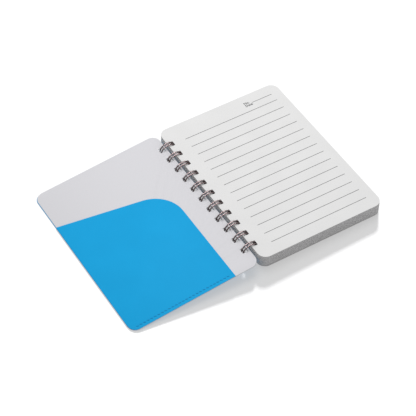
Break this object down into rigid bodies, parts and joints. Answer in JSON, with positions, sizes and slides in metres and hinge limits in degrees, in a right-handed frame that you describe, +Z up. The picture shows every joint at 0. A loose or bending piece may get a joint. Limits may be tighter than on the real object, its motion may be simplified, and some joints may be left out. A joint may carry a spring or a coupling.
{
  "type": "pocket notebook",
  "caption": "Wire-bound pocket notebook lying open, with ruled leaves, a stiff back and a sewn pocket inside its front cover.",
  "frame": {"origin": "middle of the bounding box in X and Y, on the surface the notebook lies on", "axes": "+X from the opened front cover across the wire to the leaves, +Y up the page, +Z up; the leaves lie on the wire at the spine and on their fore edge, so their faces tilt 0.77 degrees about Y"},
  "size_m": [0.1564, 0.1084, 0.0102],
  "materials": {
    "paper": "matte",
    "grey_board": "matte",
    "white_board": "satin",
    "blue_sheet": "satin",
    "thread": "matte",
    "wire": "gloss"
  },
  "bodies": {
    "back_cover": {"back_cover_board": "grey_board"},
    "leaves_lower": {"leaves_67_to_71": "paper", "leaves_62_to_66": "paper", "leaves_57_to_61": "paper", "leaves_52_to_56": "paper", "leaves_47_to_51": "paper"},
    "leaves_middle": {"leaves_42_to_46": "paper", "leaves_37_to_41": "paper", "leaves_32_to_36": "paper", "leaves_27_to_31": "paper", "leaves_22_to_26": "paper"},
    "leaves_upper": {"leaves_17_to_21": "paper", "leaves_12_to_16": "paper", "leaves_07_to_11": "paper", "leaves_02_to_06": "paper"},
    "leaf_1_margin": {"leaf_01_margin": "paper"},
    "leaf_1_panel": {"leaf_01_panel": "paper"},
    "wire": {"binding_wire": "wire"},
    "front_cover": {"front_cover_board": "white_board", "front_cover_skin": "blue_sheet", "pocket_flap": "blue_sheet", "pocket_needle_thread": "thread", "pocket_bobbin_thread": "thread"}
  },
  "joints": [
    {"name": "leaves_lower_turn", "type": "hinge", "parent": "back_cover", "child": "leaves_lower", "pos_m": [0.00032, 0, 0.00514], "axis": [0, -1, 0], "range_deg": [0, 9]},
    {"name": "leaves_middle_turn", "type": "hinge", "parent": "leaves_lower", "child": "leaves_middle", "pos_m": [0.00032, 0, 0.00514], "axis": [0, -1, 0], "range_deg": [0, 11]},
    {"name": "leaves_upper_turn", "type": "hinge", "parent": "leaves_middle", "child": "leaves_upper", "pos_m": [0.00032, 0, 0.00514], "axis": [0, -1, 0], "range_deg": [0, 12]},
    {"name": "leaf_1_turn", "type": "hinge", "parent": "leaves_upper", "child": "leaf_1_margin", "pos_m": [0.00032, 0, 0.00514], "axis": [0, -1, 0], "range_deg": [0, 20]},
    {"name": "leaf_1_bend", "type": "hinge", "parent": "leaf_1_margin", "child": "leaf_1_panel", "pos_m": [0.00712, 0, 0.00871], "axis": [0, -1, 0], "range_deg": [0, 110]},
    {"name": "wire_turn", "type": "hinge", "parent": "back_cover", "child": "wire", "pos_m": [0.00032, 0, 0.00514], "axis": [0, -1, 0], "range_deg": [-101.27, 0]},
    {"name": "front_cover_tilt", "type": "hinge", "parent": "wire", "child": "front_cover", "pos_m": [-0.00408, 0, 0.00696], "axis": [0, -1, 0], "range_deg": [-83.1, 0]}
  ],
  "couplings": [
    {"joint": "leaf_1_bend", "follows": "leaf_1_turn", "ratio": 5.5},
    {"joint": "front_cover_tilt", "follows": "wire_turn", "ratio": 0.82047}
  ]
}
